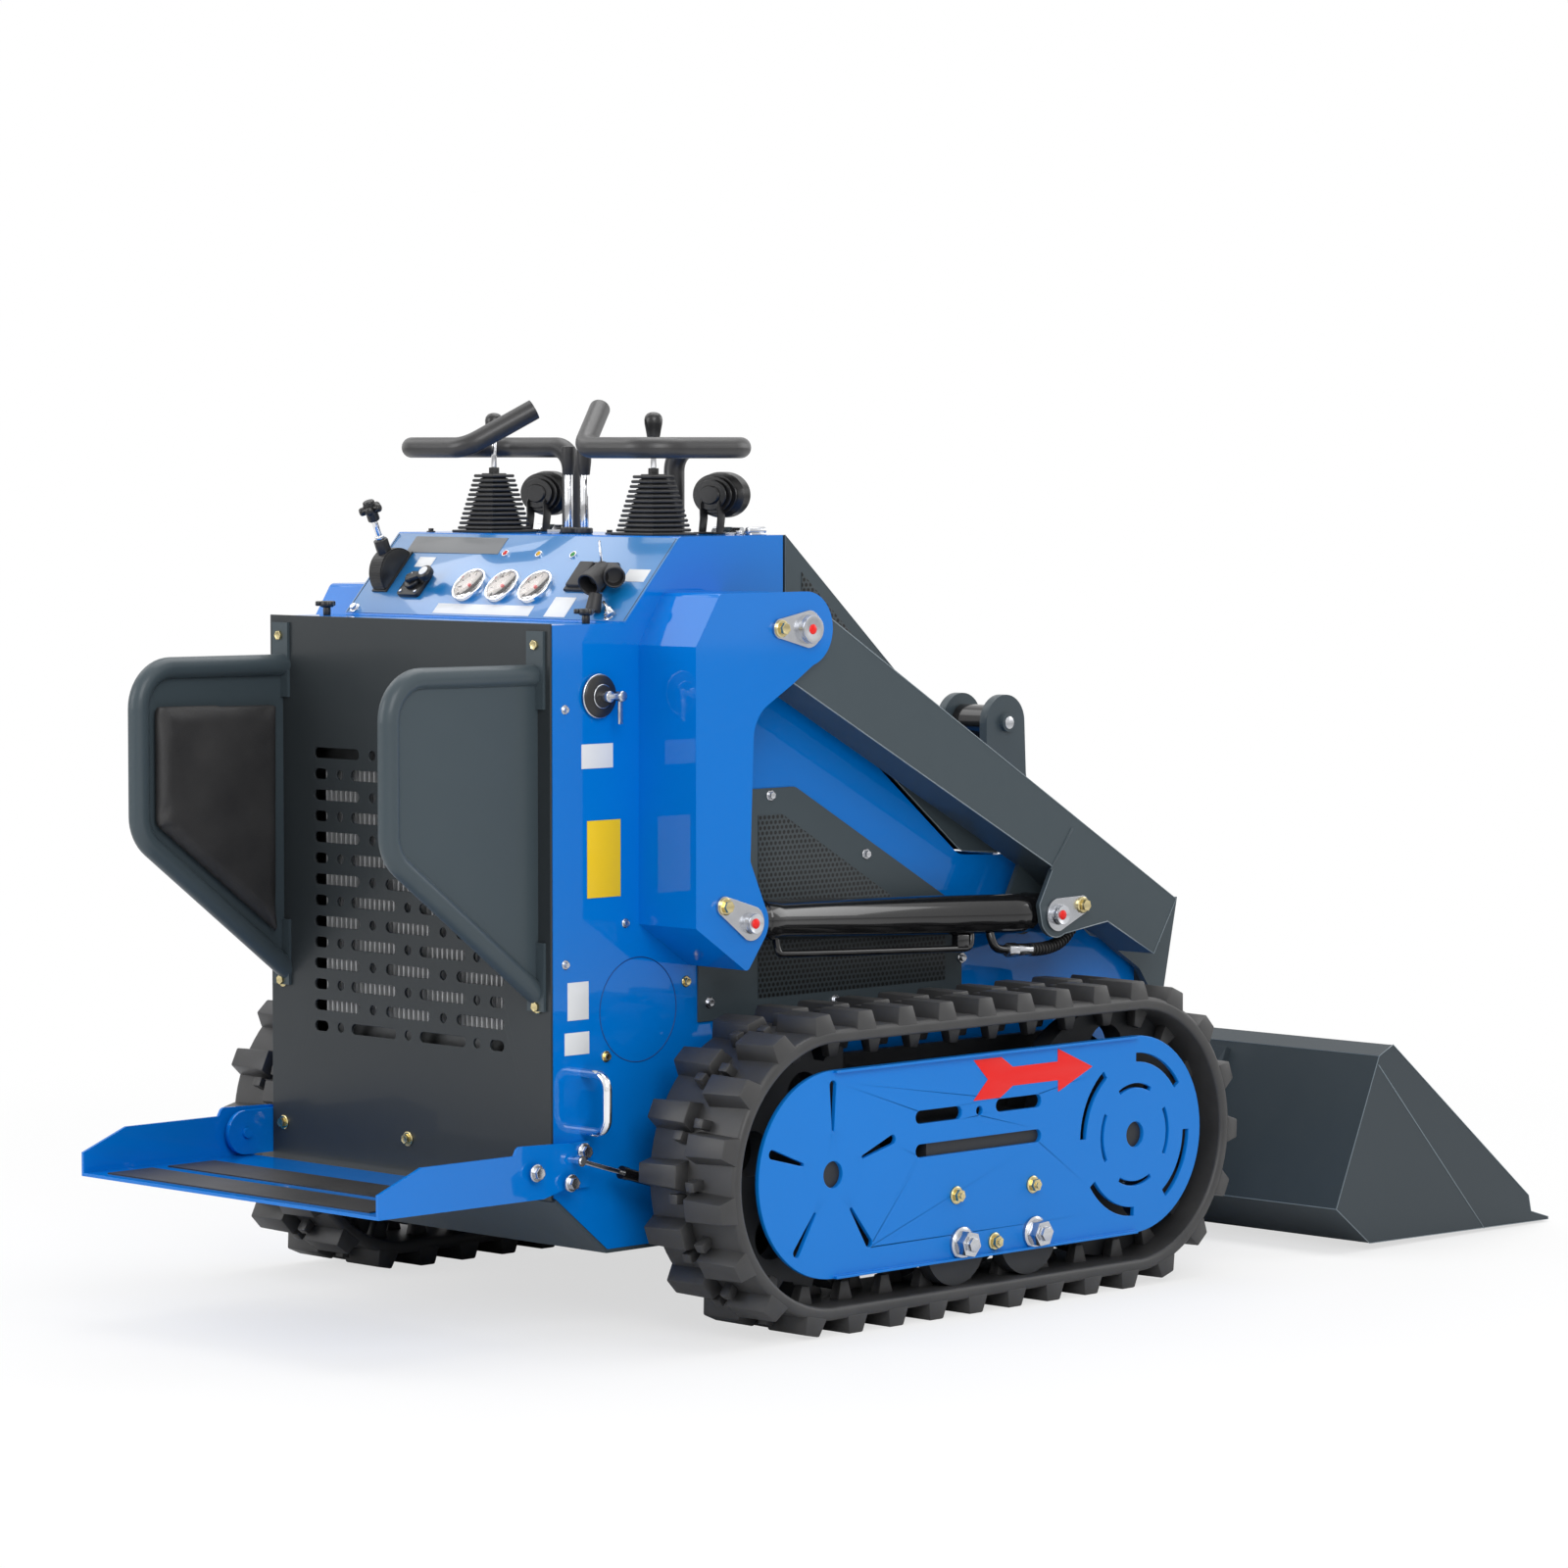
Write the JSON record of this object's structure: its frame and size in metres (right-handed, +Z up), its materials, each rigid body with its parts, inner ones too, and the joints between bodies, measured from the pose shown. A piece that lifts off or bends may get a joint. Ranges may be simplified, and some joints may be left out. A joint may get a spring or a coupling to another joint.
{
  "type": "tracked mini skid steer loader",
  "caption": "Stand-on mini skid steer loader on rubber tracks, with a lifting boom and bucket, folding rear platform, hip pads and a hinged engine hood.",
  "frame": {"origin": "centre of the overall box, on the ground", "axes": "+X towards the bucket, +Y to the driver's left, +Z up"},
  "size_m": [2.414, 1.15, 1.385],
  "materials": {
    "blue_paint": "gloss",
    "grey_paint": "semi-gloss",
    "panel_paint": "semi-gloss",
    "black_rubber": "matte",
    "track_rubber": "matte",
    "dark_steel": "satin",
    "chrome": "polished",
    "zinc": "satin",
    "black_plastic": "matte",
    "black_paint": "gloss",
    "core": "satin",
    "cast": "satin",
    "cushion": "soft matte"
  },
  "bodies": {
    "machine": {"track_right": "track_rubber", "track_left": "track_rubber", "sprockets": "dark_steel", "idlers": "dark_steel", "track_rollers": "dark_steel", "track_frames": "dark_steel", "track_guards": "blue_paint", "body_shell": "blue_paint", "belly_plate": "grey_paint", "rear_panel": "panel_paint", "radiator": "core", "engine_block": "cast", "hood_hinges": "zinc", "side_screens": "grey_paint", "towers": "blue_paint", "tower_pins": "zinc", "platform_brackets": "blue_paint", "hip_pad_frames": "grey_paint", "hip_cushions": "cushion", "hand_bars": "black_plastic", "joysticks": "black_rubber", "drive_levers": "chrome", "work_lamps": "black_plastic", "grab_handles": "chrome", "console_instruments": "chrome", "throttle_lever": "black_plastic", "battery_switch": "black_plastic"},
    "boom": {"arm_right": "grey_paint", "arm_left": "grey_paint", "boom_front": "grey_paint", "arm_pins": "zinc"},
    "bucket": {"bucket": "grey_paint", "bucket_coupler": "grey_paint"},
    "platform": {"platform": "blue_paint", "platform_grips": "black_rubber"},
    "hood": {"hood": "grey_paint"},
    "tilt_barrel": {"tilt_barrel": "black_paint"},
    "tilt_rod": {"tilt_rod": "chrome"},
    "lift_barrel_right": {"lift_barrel_right": "black_paint"},
    "lift_rod_right": {"lift_rod_right": "chrome"},
    "gas_tube_right": {"gas_tube_right": "black_paint"},
    "gas_rod_right": {"gas_rod_right": "chrome"},
    "lift_barrel_left": {"lift_barrel_left": "black_paint"},
    "lift_rod_left": {"lift_rod_left": "chrome"},
    "gas_tube_left": {"gas_tube_left": "black_paint"},
    "gas_rod_left": {"gas_rod_left": "chrome"}
  },
  "joints": [
    {"name": "boom_lift", "type": "hinge", "parent": "machine", "child": "boom", "pos_m": [-0.448, 0, 1.042], "axis": [0, -1, 0], "range_deg": [0, 70]},
    {"name": "bucket_tilt", "type": "hinge", "parent": "boom", "child": "bucket", "pos_m": [0.579, 0, 0.18], "axis": [0, -1, 0], "range_deg": [-70, 20]},
    {"name": "platform_fold", "type": "hinge", "parent": "machine", "child": "platform", "pos_m": [-0.908, 0, 0.26], "axis": [0, 1, 0], "range_deg": [0, 85]},
    {"name": "hood_open", "type": "hinge", "parent": "machine", "child": "hood", "pos_m": [-0.376, 0, 1.186], "axis": [0, -1, 0], "range_deg": [0, 50]},
    {"name": "lift_barrel_right_swing", "type": "hinge", "parent": "boom", "child": "lift_barrel_right", "pos_m": [0.126, -0.385, 0.579], "axis": [0, -1, 0], "range_deg": [-20.44, 0.2]},
    {"name": "lift_rod_right_slide", "type": "slide", "parent": "lift_barrel_right", "child": "lift_rod_right", "axis": [-0.9991, 0, 0.0432], "range_m": [-0.001, 0.4142]},
    {"name": "gas_tube_right_swing", "type": "hinge", "parent": "machine", "child": "gas_tube_right", "pos_m": [-0.616, -0.355, 0.207], "axis": [0, 1, 0], "range_deg": [-21.25, 0]},
    {"name": "gas_rod_right_slide", "type": "slide", "parent": "gas_tube_right", "child": "gas_rod_right", "axis": [-0.9588, 0, 0.2841], "range_m": [-0.001, 0.051]},
    {"name": "lift_barrel_left_swing", "type": "hinge", "parent": "boom", "child": "lift_barrel_left", "pos_m": [0.126, 0.385, 0.579], "axis": [0, -1, 0], "range_deg": [-20.44, 0.2]},
    {"name": "lift_rod_left_slide", "type": "slide", "parent": "lift_barrel_left", "child": "lift_rod_left", "axis": [-0.9991, 0, 0.0432], "range_m": [-0.001, 0.4142]},
    {"name": "gas_tube_left_swing", "type": "hinge", "parent": "machine", "child": "gas_tube_left", "pos_m": [-0.616, 0.355, 0.207], "axis": [0, 1, 0], "range_deg": [-21.25, 0]},
    {"name": "gas_rod_left_slide", "type": "slide", "parent": "gas_tube_left", "child": "gas_rod_left", "axis": [-0.9588, 0, 0.2841], "range_m": [-0.001, 0.051]},
    {"name": "tilt_barrel_swing", "type": "hinge", "parent": "boom", "child": "tilt_barrel", "pos_m": [0.406, 0, 0.858], "axis": [0, -1, 0], "range_deg": [-0.3, 0.79]},
    {"name": "tilt_rod_slide", "type": "slide", "parent": "tilt_barrel", "child": "tilt_rod", "axis": [0.4406, 0, -0.8977], "range_m": [-0.0519, 0.179]}
  ],
  "couplings": [
    {"joint": "lift_barrel_right_swing", "follows": "boom_lift", "ratio": -0.2891},
    {"joint": "lift_rod_right_slide", "follows": "boom_lift", "m_per_rad": 0.3382},
    {"joint": "gas_tube_right_swing", "follows": "platform_fold", "ratio": -0.2475},
    {"joint": "gas_rod_right_slide", "follows": "platform_fold", "m_per_rad": 0.0337},
    {"joint": "lift_barrel_left_swing", "follows": "boom_lift", "ratio": -0.2891},
    {"joint": "lift_rod_left_slide", "follows": "boom_lift", "m_per_rad": 0.3382},
    {"joint": "gas_tube_left_swing", "follows": "platform_fold", "ratio": -0.2475},
    {"joint": "gas_rod_left_slide", "follows": "platform_fold", "m_per_rad": 0.0337},
    {"joint": "tilt_barrel_swing", "follows": "bucket_tilt", "ratio": -0.0098},
    {"joint": "tilt_rod_slide", "follows": "bucket_tilt", "m_per_rad": -0.1457}
  ]
}
